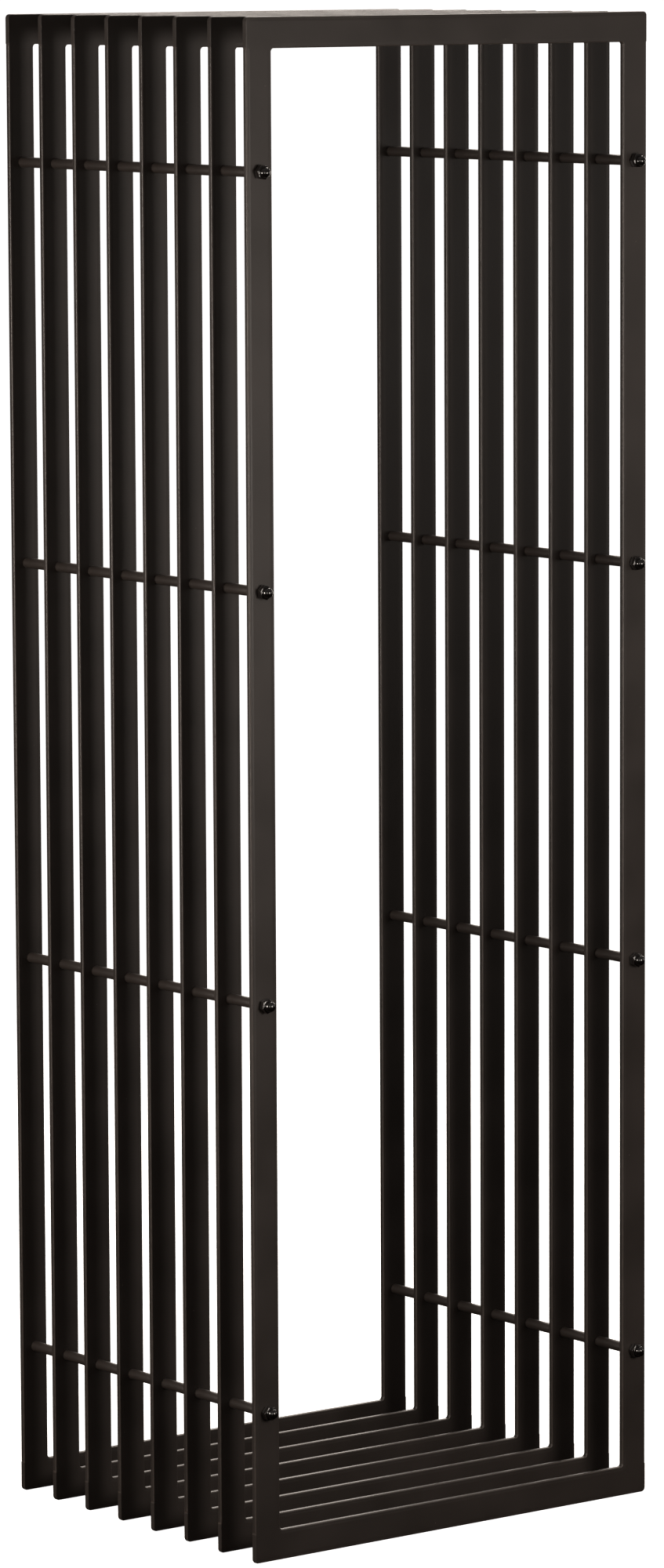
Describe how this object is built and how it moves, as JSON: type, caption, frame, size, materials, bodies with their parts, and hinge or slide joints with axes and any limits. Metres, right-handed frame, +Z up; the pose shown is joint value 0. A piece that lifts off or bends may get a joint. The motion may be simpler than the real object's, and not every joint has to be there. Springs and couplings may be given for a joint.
{
  "type": "firewood rack",
  "caption": "Tall open log rack: rectangular flat-bar frames stand one behind another on sleeved tie rods closed with cap nuts.",
  "frame": {"origin": "on the floor, under the middle of the rack", "axes": "+Z up, X across the log bay, +Y from the front frame to the back frame"},
  "size_m": [0.495, 0.43, 1.5],
  "materials": {
    "frame_steel": "satin black powder coat on hot-rolled flat bar",
    "sleeve_steel": "satin black powder coat on thin tube",
    "rod_steel": "zinc-plated rod",
    "nut_steel": "gloss black cap nut"
  },
  "bodies": {
    "root": {"frame_1": "frame_steel", "frame_2": "frame_steel", "frame_3": "frame_steel", "frame_4": "frame_steel", "frame_5": "frame_steel", "frame_6": "frame_steel", "frame_7": "frame_steel", "frame_8": "frame_steel", "tie_rod_left_1": "rod_steel", "sleeved_tie_rod_right_1": "sleeve_steel", "sleeve_left_1_1": "sleeve_steel", "sleeve_left_1_2": "sleeve_steel", "sleeve_left_1_3": "sleeve_steel", "sleeve_left_1_4": "sleeve_steel", "sleeve_left_1_5": "sleeve_steel", "sleeve_left_1_6": "sleeve_steel", "sleeve_left_1_7": "sleeve_steel", "tie_rod_left_2": "rod_steel", "sleeved_tie_rod_right_2": "sleeve_steel", "sleeve_left_2_1": "sleeve_steel", "sleeve_left_2_2": "sleeve_steel", "sleeve_left_2_3": "sleeve_steel", "sleeve_left_2_4": "sleeve_steel", "sleeve_left_2_5": "sleeve_steel", "sleeve_left_2_6": "sleeve_steel", "sleeve_left_2_7": "sleeve_steel", "tie_rod_left_3": "rod_steel", "sleeved_tie_rod_right_3": "sleeve_steel", "sleeve_left_3_1": "sleeve_steel", "sleeve_left_3_2": "sleeve_steel", "sleeve_left_3_3": "sleeve_steel", "sleeve_left_3_4": "sleeve_steel", "sleeve_left_3_5": "sleeve_steel", "sleeve_left_3_6": "sleeve_steel", "sleeve_left_3_7": "sleeve_steel", "tie_rod_left_4": "rod_steel", "sleeved_tie_rod_right_4": "sleeve_steel", "sleeve_left_4_1": "sleeve_steel", "sleeve_left_4_2": "sleeve_steel", "sleeve_left_4_3": "sleeve_steel", "sleeve_left_4_4": "sleeve_steel", "sleeve_left_4_5": "sleeve_steel", "sleeve_left_4_6": "sleeve_steel", "sleeve_left_4_7": "sleeve_steel", "cap_nut_front_left_1": "nut_steel", "cap_nut_front_left_2": "nut_steel", "cap_nut_front_left_3": "nut_steel", "cap_nut_front_left_4": "nut_steel", "cap_nut_front_right_1": "nut_steel", "cap_nut_front_right_2": "nut_steel", "cap_nut_front_right_3": "nut_steel", "cap_nut_front_right_4": "nut_steel", "cap_nut_back_left_1": "nut_steel", "cap_nut_back_left_2": "nut_steel", "cap_nut_back_left_3": "nut_steel", "cap_nut_back_left_4": "nut_steel", "cap_nut_back_right_1": "nut_steel", "cap_nut_back_right_2": "nut_steel", "cap_nut_back_right_3": "nut_steel", "cap_nut_back_right_4": "nut_steel"}
  },
  "joints": []
}
